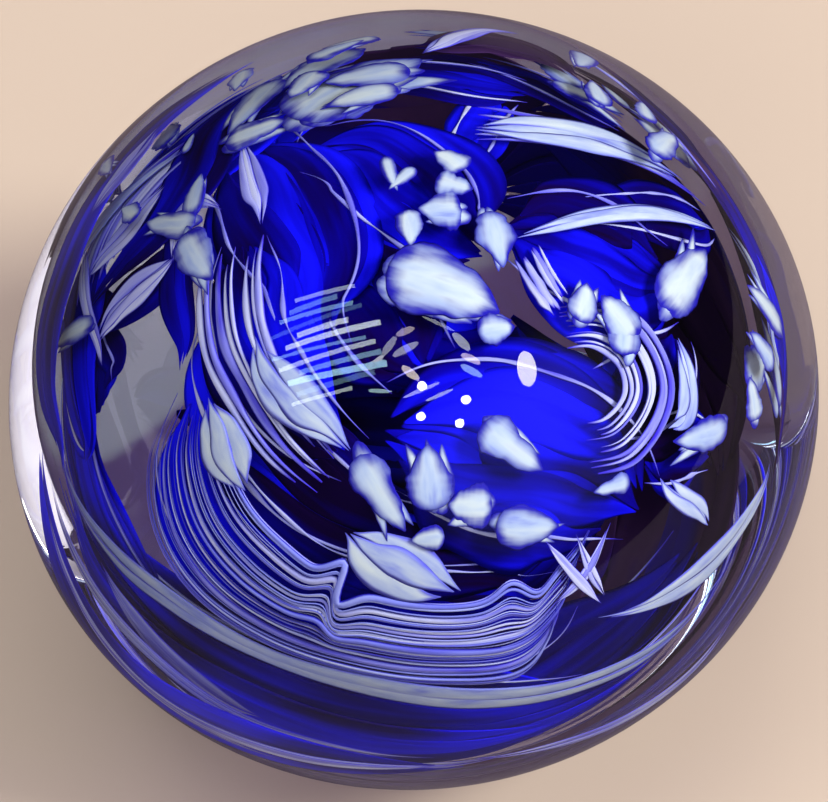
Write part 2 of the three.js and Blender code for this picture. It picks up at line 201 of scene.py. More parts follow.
# Colour drawn out nearer to the surface, over the middle gather: its glass, scale and places.
DRAWN = [
    ("blue", 0.72, [(-170, 8, 2), (-175, 11, 3), (176, 11, 4), (166, 13, 5), (156, 17, 5), (146, 19, 5),
                    (137, 21, 5), (127, 22, 5), (116, 25, 4), (106, 26, 3)]),
    ("blue", 0.645, [(-172, 6, 2), (-175, 11, 4), (174, 13, 6), (162, 14, 7), (152, 15, 6),
                     (142, 16, 3)]),
    ("blue", 0.655, [(166, 17, 1), (160, 30, 3), (153, 39, 4), (139, 42, 6), (123, 35, 6), (112, 30, 3)]),
    ("blue", 0.645, [(172, 18, 1), (170, 28, 3), (169, 38, 3.5), (164, 46, 3), (156, 50, 1)]),
    ("blue", 0.650, [(138, 40, 2), (150, 43, 2), (163, 45, 2.2), (176, 45, 2.4), (-170, 44, 2),
                     (-163, 40, 1)]),
    ("blue", 0.640, [(146, 20, 3), (141, 22, 6), (135, 29, 8), (128, 36, 8), (118, 40, 6), (108, 42, 3)]),
    # dark: cobalt on the far side, coloured near black as painted shade
    ("dark", 0.660, [(62, -2, 4), (50, -3, 7), (38, -3, 8), (27, -4, 9), (16, -12, 9), (8, -18, 9),
                     (-4, -22, 9), (-18, -27, 6)]),
    ("dark", 0.645, [(108, -6, 6), (97, -12, 9), (84, -16, 11), (70, -14, 11), (58, -10, 8)]),
    ("dark", 0.700, [(76, 36, 2), (70, 34, 4), (64, 28, 5), (58, 25, 5), (51, 25, 4), (43, 27, 2)]),
    ("dark", 0.720, [(58, 9, 1), (44, 15, 1.8), (33, 16, 2), (22, 15, 2), (11, 11, 2.2), (1, 6, 2.2),
                     (-7, 2, 2), (-15, -2, 1.6), (-24, -6, 1)]),
    ("blue", 0.725, [(46, 15, 0.5), (36, 17, 1.4), (27, 16, 1.4), (18, 14, 0.5)]),
    ("blue", 0.725, [(6, 9, 0.5), (-1, 5, 1.6), (-8, 2, 1.6), (-14, -1, 0.5)]),
    ("blue", 0.660, [(-172, 0, 4), (-163, -7, 8), (-147, -14, 10), (-128, -19, 11), (-108, -24, 11),
                     (-88, -27, 9), (-68, -27, 7), (-50, -24, 4)]),
    ("blue", 0.700, [(-168, 4, 1), (-160, -4, 3), (-145, -10, 5), (-126, -15, 6), (-106, -20, 6),
                     (-88, -23, 5), (-72, -22, 3)]),
    ("pale", 0.660, [(158, 18, 0.8), (156, 22, 1.8), (152, 29, 2.6), (146, 33, 1.8), (141, 35, 0.8)]),
    ("pale", 0.660, [(175, 22, 0.8), (172, 28, 2.4), (170, 35, 2.8), (168, 42, 1.8), (165, 46, 0.8)]),
    ("pale", 0.730, [(147, 21, 0.8), (143, 23, 2), (138, 25, 2.8), (133, 26, 2.4), (127, 25, 0.8)]),
    ("pale", 0.670, [(-178, 24, 0.8), (175, 24, 1), (166, 21, 1.4), (156, 17, 1.8), (149, 14, 0.8)]),
    ("pale", 0.660, [(168, 45, 0.8), (160, 45, 1.8), (152, 45, 2.2), (148, 48, 2), (152, 55, 0.8)]),
    ("pale", 0.660, [(161, 65, 0.6), (150, 63, 1.2), (143, 60, 1.8), (131, 53, 1.4), (124, 46, 0.6)]),
    ("pale", 0.740, [(-172, 5, 0.6), (-166, 1, 1), (-156, -4, 1.6), (-144, -8, 1.8), (-130, -13, 1.6),
                     (-113, -16, 1.4), (-96, -20, 0.8)]),
    ("pale", 0.700, [(-150, -16, 0.8), (-136, -21, 1.4), (-120, -26, 1.8), (-102, -30, 1.8), (-86, -31, 1)]),
    ("pale", 0.720, [(54, 16, 0.4), (44, 18, 0.8), (33, 18, 0.6), (22, 17, 0.9), (11, 13, 0.6)]),
    ("pale", 0.720, [(73, 42, 0.8), (70, 36, 2), (68, 30, 2.2), (65, 22, 1.6), (60, 18, 0.8)]),
    ("pale", 0.700, [(-158, 0, 0.8), (-150, -6, 2.4), (-141, -11, 3), (-132, -15, 2.4), (-126, -16, 0.8)]),
    # low round the rim
    ("blue", 0.840, [(-172, 16, 2), (-165, 8, 4), (-155, -4, 6), (-143, -10, 7), (-125, -11, 7),
                     (-108, -12, 6), (-93, -14, 3)]),
    ("pale", 0.860, [(-160, 5, 0.5), (-151, -4, 1.4), (-139, -10, 1.8), (-122, -11, 1.8), (-105, -11, 1.4),
                     (-92, -12, 0.5)]),
    ("pale", 0.880, [(-148, -6, 0.5), (-136, -9, 1), (-120, -10, 1.4), (-104, -10, 1), (-94, -10, 0.5)]),
    ("pale", 0.850, [(-166, 11, 0.5), (-159, 3, 1), (-149, -6, 1.2), (-135, -13, 1.2), (-118, -15, 0.5)]),
    ("pale", 0.820, [(-92, -14, 0.6), (-80, -17, 1.4), (-67, -20, 2), (-54, -19, 2), (-43, -11, 0.8)]),
    # streaks that cross at the feather's tip
    ("pale", 0.670, [(-71, 20, 0.4), (-68, 11, 0.9), (-65, 2, 0.4)]),
    ("pale", 0.670, [(-73, 7, 0.4), (-66, 10, 0.9), (-58, 16, 0.4)]),
    ("pale", 0.670, [(-65, 18, 0.3), (-65, 10, 0.7), (-64, 3, 0.3)]),
]

# More chips near the surface: as the others, with the scale of their shell.
NEAR_CHIPS = [
    (93, 37, 30, 6, 2.4, 0.69),
    (101, 45, 35, 5, 3.0, 0.67),
    (84, 47, 10, 8, 4.0, 0.66),
    (86, 55, 5, 7, 3.2, 0.66),
    (112, 33, 60, 5, 2.0, 0.70),
    (31, 23, -30, 4, 2.0, 0.70),
    (22, 26, -55, 7, 2.6, 0.70),
    (48, 20, -60, 6, 2.2, 0.70),
    (37, 30, -40, 5, 2.4, 0.69),
    (-5, 8, 75, 7, 2.4, 0.70),
    (-13, 9, 80, 5, 2.2, 0.70),
    (-22, 8, 50, 4, 2.6, 0.69),
    (137, 20, 60, 5, 1.8, 0.73),
    (150, 33, 55, 4, 1.8, 0.67),
    (169, 52, 20, 7, 3.2, 0.655),
    (95, 50, 28, 12, 7.0, 0.645),
]

# Wide ribbons round the heart. The last one has no node of its own in the CAD.
DEEP_RIBBONS = [
    [(-175, 10, 10), (-140, 30, 16), (-95, 35, 18), (-50, 20, 16), (-25, 0, 10)],
    [(-30, 55, 8), (-50, 20, 16), (-90, -5, 18), (-140, -10, 16), (-175, -5, 10)],
    [(160, 50, 8), (-150, 70, 14), (-80, 62, 16), (-30, 40, 10)],
]
HEART_RIBBONS = 2

# ---------------------------------------------------------------- how thick and how high it lies
# A lift is the height of a piece's middle above its shell. Pieces that cross are staggered, by
# their place in a cycle of LEVELS.

LEVELS = 6
RIBBON_THICKNESS = 0.14 * MM
RIBBON_LIFT = -0.5 * MM
RIBBON_LEVEL = 0.16 * MM
THREAD_THICKNESS = 0.2 * MM
THREAD_LIFT = -0.3 * MM
THREAD_EDGES = (-0.43, 0.4)  # where the threads run, as a share of the ribbon's width
STRAND_THICKNESS = 0.12 * MM
STRAND_LIFT = 0.9 * MM
CHIP_THICKNESS = 0.3 * MM
CHIP_LIFT = 1.1 * MM
DRAWN_LEVEL = 0.05 * MM
FEATHER_LIFT = 0.8 * MM
VEIL_LIFT = 0.65 * MM
BAND_LIFT = 0.3 * MM
DEEP_THICKNESS = 0.3 * MM
LINE_THICKNESS = 0.45 * MM  # the most that a ruled line has
NARROWEST = 0.1             # the least width along a run of places, in millimetres
END_FADE = 5                # a strand's core fades out over 1/5 of its length at each end

# How far a bundle's strands sway, and how they gather at its ends, as shares of its width.
SWAY = 0.10
GATHERED_WIDTH = 0.25
GATHER_RATE = 3.5

# A chip's body and the petals of its frayed edge, as shares of the chip's own length and width.
PLAIN_CHIP_AREA = 9         # a chip of less length x width than this has no frayed edge
BODY_LENGTH, BODY_WIDTH = 0.85, 1.05
FRINGE_LENGTH = (0.6, 1.05)
FRINGE_WIDTH = (0.3, 0.6)
FRINGE_LIFT = (-0.25 * MM, -0.05 * MM)
FRINGE_SPREAD = 30          # degrees

RINGS_A_PLACE = 14
DEEP_RINGS = 50
CHIP_RINGS = 28
LINE_RINGS = 70
FEATHER_RINGS = 140
STRAND_SIDES = 8
LINE_SIDES = 6
CHIP_SIDES = 14


def direction(bearing, rise):
    """The unit vector towards a place."""
    turn, up = math.radians(bearing), math.radians(rise)
    return Vector((math.cos(up) * math.cos(turn), math.cos(up) * math.sin(turn), math.sin(up)))


def reach(way):
    """Distance from the ball's centre to its surface along a direction."""
    flat = way.x ** 2 + way.y ** 2
    return 1 / math.sqrt(flat / RADIUS ** 2 + way.z ** 2 / SEMI_HEIGHT ** 2)


def on_layer(way, scale, lift):
    """The point in a direction on a gather of that scale, lifted off it by some metres."""
    return CENTRE + way * (reach(way) * scale + lift)


def smooth_between(values, t):
    """A value part way along a list, by a Catmull-Rom curve through it."""
    at = min(max(t, 0), 1) * (len(values) - 1)
    i = min(int(at), len(values) - 2)
    f = at - i
    p1, p2 = values[i], values[i + 1]
    p0 = values[i - 1] if i > 0 else p1 * 2 - p2
    p3 = values[i + 2] if i + 2 < len(values) else p2 * 2 - p1
    return (p1 * 2 + (p2 - p0) * f + (p0 * 2 - p1 * 5 + p2 * 4 - p3) * f * f
            + (p1 * 3 - p0 - p2 * 3 + p3) * f * f * f) * 0.5


# ---------------------------------------------------------------- materials

GLASS_IOR = 1.5
RAMP_END = 1.5
PATCH_SIZE = 14 * MM


def new_material(name):
    """An empty material, its node tree and its output."""
    material = bpy.data.materials.new(name)
    material.use_nodes = True
    tree = material.node_tree
    tree.nodes.clear()
    return material, tree, tree.nodes.new("ShaderNodeOutputMaterial")


def flow_streaks(tree, along, across):
    """Noise drawn out along the strand, by the flow map in millimetres."""
    flow = tree.nodes.new("ShaderNodeUVMap")
    flow.uv_map = "flow"
    stretch = tree.nodes.new("ShaderNodeMapping")
    stretch.inputs["Scale"].default_value = (along, across, 1)
    streaks = tree.nodes.new("ShaderNodeTexNoise")
    streaks.inputs["Scale"].default_value = 1.0
    streaks.inputs["Detail"].default_value = 3.0
    tree.links.new(flow.outputs["UV"], stretch.inputs["Vector"])
    tree.links.new(stretch.outputs["Vector"], streaks.inputs["Vector"])
    return streaks.outputs["Fac"]


def ramp(tree, value, stops):
    """Colours along a value from 0 to RAMP_END."""
    node = tree.nodes.new("ShaderNodeValToRGB")
    elements = node.color_ramp.elements
    while len(elements) < len(stops):
        elements.new(0.5)
    for element, (position, color) in zip(elements, stops):
        element.position = position / RAMP_END
        element.color = (*color, 1)
    tree.links.new(sum_of(tree, value, 1 / RAMP_END, 0.0), node.inputs["Fac"])
    return node.outputs["Color"]


def clear_glass():
    """Polished clear glass. Light reaches the colour inside it, but light that would pass right
    through it is mostly stopped, as a ball bends it away, so the ball has a shadow."""
    material, tree, output = new_material("clear_glass")
    glass = tree.nodes.new("ShaderNodeBsdfPrincipled")
    glass.inputs["Base Color"].default_value = (0.90, 0.86, 0.97, 1)
    glass.inputs["Roughness"].default_value = 0.0
    glass.inputs["IOR"].default_value = GLASS_IOR
    glass.inputs["Transmission Weight"].default_value = 1.0
    into = tree.nodes.new("ShaderNodeBsdfTransparent")
    into.inputs["Color"].default_value = (0.08, 0.05, 0.14, 1)
    out = tree.nodes.new("ShaderNodeBsdfTransparent")
    out.inputs["Color"].default_value = (0.92, 0.92, 0.94, 1)
    facing = tree.nodes.new("ShaderNodeNewGeometry")
    through = tree.nodes.new("ShaderNodeMixShader")
    tree.links.new(facing.outputs["Backfacing"], through.inputs["Fac"])
    tree.links.new(into.outputs["BSDF"], through.inputs[1])
    tree.links.new(out.outputs["BSDF"], through.inputs[2])
    path = tree.nodes.new("ShaderNodeLightPath")
    soft = sum_of(tree, path.outputs["Is Shadow Ray"], 1.0, path.outputs["Is Diffuse Ray"])
    mix = tree.nodes.new("ShaderNodeMixShader")
    tree.links.new(soft, mix.inputs["Fac"])
    tree.links.new(glass.outputs["BSDF"], mix.inputs[1])
    tree.links.new(through.outputs["Shader"], mix.inputs[2])
    tree.links.new(mix.outputs["Shader"], output.inputs["Surface"])
    return material


def attribute(tree, name):
    """A value that add_piece stored at each point."""
    node = tree.nodes.new("ShaderNodeAttribute")
    node.attribute_name = name
    return node.outputs["Fac"]


def sum_of(tree, value, factor, other):
    """value x factor + other, where other is a number or another node's value."""
    node = tree.nodes.new("ShaderNodeMath")
    node.operation = "MULTIPLY_ADD"
    tree.links.new(value, node.inputs[0])
    node.inputs[1].default_value = factor
    if isinstance(other, float):
        node.inputs[2].default_value = other
    else:
        tree.links.new(other, node.inputs[2])
    return node.outputs[0]


def patches(tree, size):
    """Soft light and dark patches through the ball, of a size in metres."""
    place = tree.nodes.new("ShaderNodeTexCoord")
    clouds = tree.nodes.new("ShaderNodeTexNoise")
    clouds.inputs["Scale"].default_value = 1 / size
    clouds.inputs["Detail"].default_value = 1.0
    tree.links.new(place.outputs["Object"], clouds.inputs["Vector"])
    return clouds.outputs["Fac"]


def fused_glass(name, stops, edge, along=0.12, across=1.2, fray=0.5, tone=0.5, rim=0.35, patch=0.0):
    """Dense coloured glass fused into the clear, so it has no gloss of its own.

    The streaks change by along and across a millimetre, and tone and patch say how much a strand's
    own tone and the soft patches shift its colour among the stops. Its thin edges take the edge
    colour, as coloured glass does where it runs out: rim is how wide they are and fray how ragged.
    """
    material, tree, output = new_material(name)
    surface = tree.nodes.new("ShaderNodeBsdfPrincipled")
    surface.inputs["Roughness"].default_value = 0.6
    surface.inputs["Specular IOR Level"].default_value = 0.0
    streaks = flow_streaks(tree, along, across)
    shade = sum_of(tree, attribute(tree, "tone"), tone, streaks)
    shade = sum_of(tree, patches(tree, PATCH_SIZE), patch, shade)
    color = ramp(tree, shade, stops)
    thin = sum_of(tree, streaks, -fray, attribute(tree, "core"))
    fade = tree.nodes.new("ShaderNodeMapRange")
    fade.interpolation_type = "SMOOTHSTEP"
    fade.inputs["From Min"].default_value = -0.5 * fray
    fade.inputs["From Max"].default_value = rim - 0.5 * fray
    tree.links.new(thin, fade.inputs["Value"])
    mix = tree.nodes.new("ShaderNodeMix")
    mix.data_type = "RGBA"
    mix.inputs[6].default_value = (*edge, 1)
    tree.links.new(fade.outputs["Result"], mix.inputs[0])
    tree.links.new(color, mix.inputs[7])
    tree.links.new(mix.outputs[2], surface.inputs["Base Color"])
    tree.links.new(surface.outputs["BSDF"], output.inputs["Surface"])
    return material


CLEAR = clear_glass()
CHIP = fused_glass(
    "opal_chip_glass", [(0.50, (0.08, 0.11, 0.45)), (0.74, (0.25, 0.34, 0.50)), (1.05, (0.38, 0.47, 0.49))],
    edge=(0.012, 0.010, 0.26), along=0.22, across=0.9, fray=1.1, rim=0.75)
STRAND = fused_glass(
    "opal_strand_glass", [(0.50, (0.10, 0.13, 0.50)), (0.74, (0.26, 0.34, 0.52)), (1.05, (0.40, 0.49, 0.52))],
    edge=(0.07, 0.08, 0.46), along=0.22, across=0.9, fray=0.9, tone=0.4, rim=0.5)
COMBED = fused_glass(
    "combed_opal_glass", [(0.50, (0.04, 0.04, 0.42)), (0.85, (0.16, 0.20, 0.60)), (1.25, (0.42, 0.50, 0.66))],
    edge=(0.010, 0.008, 0.30), along=0.08, across=0.5, fray=0.7)
VEIL = fused_glass(
    "pale_veil", [(0.45, (0.03, 0.02, 0.45)), (0.70, (0.17, 0.19, 0.58)), (0.95, (0.36, 0.41, 0.62))],
    edge=(0.03, 0.02, 0.42), along=0.10, across=0.8)
COBALT = fused_glass(
    "cobalt_glass", [(0.90, (0.003, 0.0005, 0.02)), (1.06, (0.002, 0.0005, 0.09)),
                     (1.22, (0.002, 0.001, 0.25)), (1.44, (0.004, 0.004, 0.72))],
    edge=(0.003, 0.0005, 0.20), along=0.04, across=0.40, fray=0.0, tone=0.35, rim=0.02, patch=1.0)
# A darker, plum copy of the cobalt glass: painted shade for the real cobalt on the unlit far side, seen
# through the clear windows.
SHADED_COBALT = fused_glass(
    "shaded_cobalt_glass", [(0.86, (0.012, 0.003, 0.03)), (1.00, (0.030, 0.012, 0.055)),
                           (1.12, (0.006, 0.001, 0.09)), (1.34, (0.004, 0.001, 0.22))],
    edge=(0.008, 0.002, 0.05), along=0.03, across=0.16, fray=0.0, tone=0.16, rim=0.02, patch=1.0)

# ---------------------------------------------------------------- meshes


def add_piece(name, solid, material, slot, *stands_for):
    """One solid with the flow map, core and tone of its points, riding on the ball."""
    points, faces, flow, core, tone = solid
    mesh = bpy.data.meshes.new(name)
    mesh.from_pydata(points, [], faces)
    layer = mesh.uv_layers.new(name="flow")
    for loop in mesh.loops:
        layer.data[loop.index].uv = flow[loop.vertex_index]
    for word, values in (("core", core), ("tone", tone)):
        mesh.attributes.new(word, "FLOAT", "POINT").data.foreach_set("value", values)
    for face in mesh.polygons:
        face.use_smooth = True
    mesh.materials.append(material)
    piece = bpy.data.objects.new(name, mesh)
    bpy.context.scene.collection.objects.link(piece)
    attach(piece, "root")
    if stands_for:
        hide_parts(*stands_for)
    return piece


def joined(solids):
    """Several solids as one."""
    points, faces, flow, core, tone = [], [], [], [], []
    for p, f, w, c, o in solids:
        start = len(points)
        points += p
        flow += w
        core += c
        tone += o
        faces += [tuple(i + start for i in face) for face in f]
    return points, faces, flow, core, tone


def pointed(t):
    """The share of its width that a strand has part way along: it ends in two points."""
    return math.sin(math.pi * (0.02 + 0.96 * t)) ** 0.7


def drawn_out(t):
    """The same for a wide band: a long taper at each end."""
    return math.sin(math.pi * (0.01 + 0.98 * t)) ** 0.9


def teardrop(t):
    """The same for a chip: round at the start, drawn out to a point at the end."""
    round_end, taper_start = 0.25, 0.3
    blunt = math.sqrt(1 - (1 - min(t / round_end + 0.01, 1)) ** 2)
    along = max(t - taper_start, 0) / (1 - taper_start)
    return blunt * max(1 - along ** 1.6, 0.02) ** 0.8


def strand_solid(ways, widths, thickness, scale, lift, shade, seed, sides, profile=pointed):
    """A closed lens-shaped strand through directions, whose core value is highest in its middle."""
    points, flow, core, faces = [], [], [], []
    run = 0.0
    rings = len(ways)
    for i, way in enumerate(ways):
        tangent = (ways[min(i + 1, rings - 1)] - ways[max(i - 1, 0)]).normalized()
        side = tangent.cross(way).normalized()
        if i:
            run += way.angle(ways[i - 1]) * reach(way) * scale / MM
        t = i / (rings - 1)
        full = profile(t)
        for j in range(sides):
            angle = 2 * math.pi * j / sides
            across = math.cos(angle) * widths[i] / 2 * full
            height = lift + math.sin(angle) * thickness / 2 * full
            lean = across / (reach(way) * scale)
            outward = (way * math.cos(lean) + side * math.sin(lean)).normalized()
            points.append(on_layer(outward, scale, height))
            flow.append((run + seed * 13, across / MM + seed * 5))
            core.append((1 - abs(math.cos(angle))) * min(1, END_FADE * t, END_FADE * (1 - t)))
    for i in range(rings - 1):
        for j in range(sides):
            a, b = i * sides + j, i * sides + (j + 1) % sides
            faces.append((a, b, b + sides, a + sides))
    faces.append(tuple(reversed(range(sides))))
    faces.append(tuple(range((rings - 1) * sides, rings * sides)))
    return points, faces, flow, core, [shade] * len(points)


def along_places(places, rings):
    """Directions and widths at even steps along a run of places."""
    ways = [direction(bearing, rise) for bearing, rise, _ in places]
    sizes = [float(width) for _, _, width in places]
    steps = [i / (rings - 1) for i in range(rings)]
    path = [smooth_between(ways, t).normalized() for t in steps]
    return path, [max(smooth_between(sizes, t), NARROWEST) * MM for t in steps]


def bundle(ways, widths, count, thickness, scale, lift, seed, stagger, overlap, tones, profile=drawn_out):
    """Strands drawn out side by side, each with its own length and tone.

    Stagger is how much their ends differ, and overlap how many strands' room each one takes.
    """
    dice = random.Random(seed)
    solids = []
    rings = len(ways)
    for strand in range(count):
        # a strand's place runs from -0.5 at one edge of the bundle to 0.5 at the other
        place = (strand + 0.5 + dice.uniform(-0.4, 0.4)) / count - 0.5
        short = stagger * (0.5 + abs(place))
        start, end = dice.uniform(0, short), 1 - dice.uniform(0, short)
        wave = dice.uniform(0, 100)
        path, sizes = [], []
        for i in range(rings):
            t = start + (end - start) * i / (rings - 1)
            way = smooth_between(ways, t)
            width = smooth_between(widths, t)
            ahead = smooth_between(ways, t + 0.02) - smooth_between(ways, t - 0.02)
            side = ahead.cross(way).normalized()
            sway = SWAY * noise.noise(Vector((t * 3, wave, 0)))
            spread = math.sin(math.pi / 2 * min(1, GATHER_RATE * t, GATHER_RATE * (1 - t)))
            gathered = GATHERED_WIDTH + (1 - GATHERED_WIDTH) * spread
            aside = (place * 0.9 * gathered + sway) * width / (reach(way) * scale)
            path.append((way + side * aside).normalized())
            sizes.append(width / count * overlap * (1 + 0.4 * noise.noise(Vector((t * 4, wave, 9)))))
        height = lift + dice.uniform(-0.5, 0.5) * thickness
        shade = dice.uniform(*tones)
        solids.append(strand_solid(path, sizes, thickness, scale, height, shade, wave, STRAND_SIDES,
                                   profile))
    return joined(solids)


def petal_chip(chip, scale, seed):
    """A chip as fused glass drags it: round at one end and drawn out into points at the other."""
    bearing, rise, turn, length, width = chip
    dice = random.Random(100 + seed)
    way = direction(bearing, rise)
    east = Vector((0, 0, 1)).cross(way).normalized()
    north = way.cross(east)
    radius = reach(way) * scale
    petals = 1 if length * width < PLAIN_CHIP_AREA else dice.choice((3, 4, 4, 5))
    back = math.pi if dice.random() < 0.5 else 0.0
    solids = []
    for petal in range(petals):
        # the first petal is the chip's body and the others are its frayed edge
        fringe = petal > 0
        spread = dice.uniform(-0.5, 0.5) if fringe else 0.0
        angle = math.radians(turn + spread * FRINGE_SPREAD) + back
        heading = east * math.cos(angle) + north * math.sin(angle)
        side = way.cross(heading)
        long = length * MM * (dice.uniform(*FRINGE_LENGTH) if fringe else BODY_LENGTH)
        wide = width * MM * (dice.uniform(*FRINGE_WIDTH) if fringe else BODY_WIDTH)
        bend = dice.uniform(-0.15, 0.15)
        shift = spread * width * MM * 0.6
        start = dice.uniform(-0.12, 0.08) if fringe else 0.0
        path, sizes = [], []
        for i in range(CHIP_RINGS):
            t = i / (CHIP_RINGS - 1)
            u = (t - 0.42 + start) * long
            v = shift + bend * long * (t * t - 0.3)
            path.append((way + heading * (u / radius) + side * (v / radius)).normalized())
            wobble = 0.3 * noise.noise(Vector((t * 3, petal * 5, seed)))
            wobble += 0.12 * noise.noise(Vector((t * 11, petal * 5, seed)))
            sizes.append(wide * (1 + wobble))
        height = CHIP_LIFT + (dice.uniform(*FRINGE_LIFT) if fringe else 0)
        solids.append(strand_solid(path, sizes, CHIP_THICKNESS, scale, height, dice.uniform(0.6, 1),
                                   seed + petal, CHIP_SIDES, teardrop))
    return joined(solids)


def ruled_lines(inner, outer, shares, widths, lift, seed, kink=None, rings=LINE_RINGS, grow=(1, 1)):
    """Fine strands ruled between two edges, each at its own share of the way across.

    The kink, if any, moves a line aside part way along, and grow widens it from start to end.
    """
    inner_ways = [direction(*p) for p in inner]
    outer_ways = [direction(*p) for p in outer]
    dice = random.Random(seed)
    solids = []
    for index, (share, width) in enumerate(zip(shares, widths)):
        first = dice.uniform(0.0, 0.10)
        last = 1 - dice.uniform(0.0, 0.12)
        drift = dice.uniform(-0.03, 0.03)
        ways, sizes = [], []
        for i in range(rings):
            t = first + (last - first) * i / (rings - 1)
            f = share + drift * math.sin(4 * t + index)
            if kink:
                f += kink(t, share)
            way = smooth_between(inner_ways, t) * (1 - f) + smooth_between(outer_ways, t) * f
            ways.append(way.normalized())
            swell = 1 + 0.7 * noise.noise(Vector((t * 5, index * 3.1, seed)))
            swell *= grow[0] + (grow[1] - grow[0]) * t
            sizes.append(width * swell * MM)
        height = lift + dice.uniform(-0.1, 0.1) * MM
        thickness = min(width * MM, LINE_THICKNESS)
        solids.append(strand_solid(ways, sizes, thickness, MIDDLE_SCALE, height, dice.uniform(0.1, 1), index,
                                   LINE_SIDES))
    return joined(solids)


# ---------------------------------------------------------------- the ball


def make_ball():
    """The clear body: one polished lump of glass with a ground flat foot."""
    foot = math.asin(-CENTRE.z / SEMI_HEIGHT)
    profile = [(RADIUS * math.cos(foot) - EDGE_ROUNDING, 0.0)]
    start = foot + EDGE_ANGLE
    for row in range(BALL_ROWS):
        angle = start + (math.pi / 2 - start) * row / BALL_ROWS
        profile.append((RADIUS * math.cos(angle), CENTRE.z + SEMI_HEIGHT * math.sin(angle)))
    points = [Vector((0, 0, 0))]
    for radius, height in profile:
        for turn in range(BALL_TURNS):
            angle = 2 * math.pi * turn / BALL_TURNS
            points.append(Vector((radius * math.cos(angle), radius * math.sin(angle), height)))
    points.append(Vector((0, 0, CENTRE.z + SEMI_HEIGHT)))
    faces = []
    last = 1 + (len(profile) - 1) * BALL_TURNS
    for turn in range(BALL_TURNS):
        after = (turn + 1) % BALL_TURNS
        faces.append((0, 1 + after, 1 + turn))
        for row in range(len(profile) - 1):
            a, b = 1 + row * BALL_TURNS, 1 + (row + 1) * BALL_TURNS
            faces.append((a + turn, a + after, b + after, b + turn))
        faces.append((last + turn, last + after, len(points) - 1))
    flow = [(p.x / MM, p.y / MM) for p in points]
    even = [1.0] * len(points)
    ball = add_piece("glass_body", (points, faces, flow, even, even), CLEAR, "clear_glass",
                     "clear_casing", "middle_gather", "clear_heart")
    # the ground foot stays flat
    for face in ball.data.polygons:
        face.use_smooth = face.center.z > 0.01 * MM


# ---------------------------------------------------------------- the colour


def numbered(word, index):
    """A name as the CAD counts them, from 01."""
    return f"{word}_{index + 1:02d}"


def strand_count(places):
    """A bundle has more strands the wider it is."""
    return 3 + round(max(width for _, _, width in places) / 3)


def lay_ribbons():
    """The cobalt ribbons on the middle gather."""
    shaded_from = len(BLUE_RIBBONS) - SHADED_RIBBONS
    for index, places in enumerate(BLUE_RIBBONS):
        ways, widths = along_places(places, RINGS_A_PLACE * len(places))
        lift = RIBBON_LIFT - RIBBON_LEVEL * (index % LEVELS)
        solid = bundle(ways, widths, strand_count(places), RIBBON_THICKNESS, MIDDLE_SCALE, lift,
                       seed=200 + index, stagger=0.12, overlap=3.2, tones=(0, 1))
        # the last ribbons take the near-black copy of the cobalt, painted shade
        glass = SHADED_COBALT if index >= shaded_from else COBALT
        add_piece(numbered("cobalt_ribbon", index), solid, glass, "cobalt_glass",
                  numbered("blue_ribbon", index))


def lay_threads():
    """Thin pale threads that follow the edges of the blue ribbons."""
    dice = random.Random(8)
    solids = []
    for index, places in enumerate(BLUE_RIBBONS[:-SHADED_RIBBONS]):
        ways, widths = along_places(places, RINGS_A_PLACE * len(places))
        lift = THREAD_LIFT - RIBBON_LEVEL * (index % LEVELS)
        for edge in THREAD_EDGES:
            path, sizes = [], []
            for i, way in enumerate(ways):
                after, before = ways[min(i + 1, len(ways) - 1)], ways[max(i - 1, 0)]
                side = (after - before).cross(way).normalized()
                sway = edge + 0.03 * noise.noise(Vector((i * 0.04, index, edge * 9)))
                aside = sway * widths[i] / (reach(way) * MIDDLE_SCALE)
                path.append((way + side * aside).normalized())
                sizes.append((0.35 + 0.5 * noise.noise(Vector((i * 0.09, edge * 5, index)))) * MM)
            solids.append(strand_solid(path, sizes, THREAD_THICKNESS, MIDDLE_SCALE, lift,
                                       dice.uniform(0.2, 1), index, LINE_SIDES))
    add_piece("pale_threads", joined(solids), VEIL, "opal_glass")


def lay_strands():
    """The long white strands over the ribbons."""
    for index, places in enumerate(WHITE_STRANDS):
        ways, widths = along_places(places, RINGS_A_PLACE * len(places))
        solid = bundle(ways, widths, 3, STRAND_THICKNESS, MIDDLE_SCALE, STRAND_LIFT,
                       seed=300 + index, stagger=0.15, overlap=2.1, tones=(0.5, 1))
        add_piece(numbered("opal_strand", index), solid, STRAND, "opal_glass",
                  numbered("white_strand", index))


def lay_chips():
    """The white chips: those of the CAD, the small ones between them and those nearer to the surface."""
    for index, chip in enumerate(WHITE_CHIPS):
        add_piece(numbered("opal_chip", index), petal_chip(chip, MIDDLE_SCALE, index), CHIP, "opal_glass",
                  numbered("white_chip", index))
    for index, chip in enumerate(SMALL_CHIPS):
        solid = petal_chip(chip, MIDDLE_SCALE, index + 50)
        add_piece(numbered("opal_crumb", index), solid, CHIP, "opal_glass")
    for index, (*chip, scale) in enumerate(NEAR_CHIPS):
        solid = petal_chip(chip, scale, index + 90)
        add_piece(numbered("near_chip", index), solid, CHIP, "opal_glass")


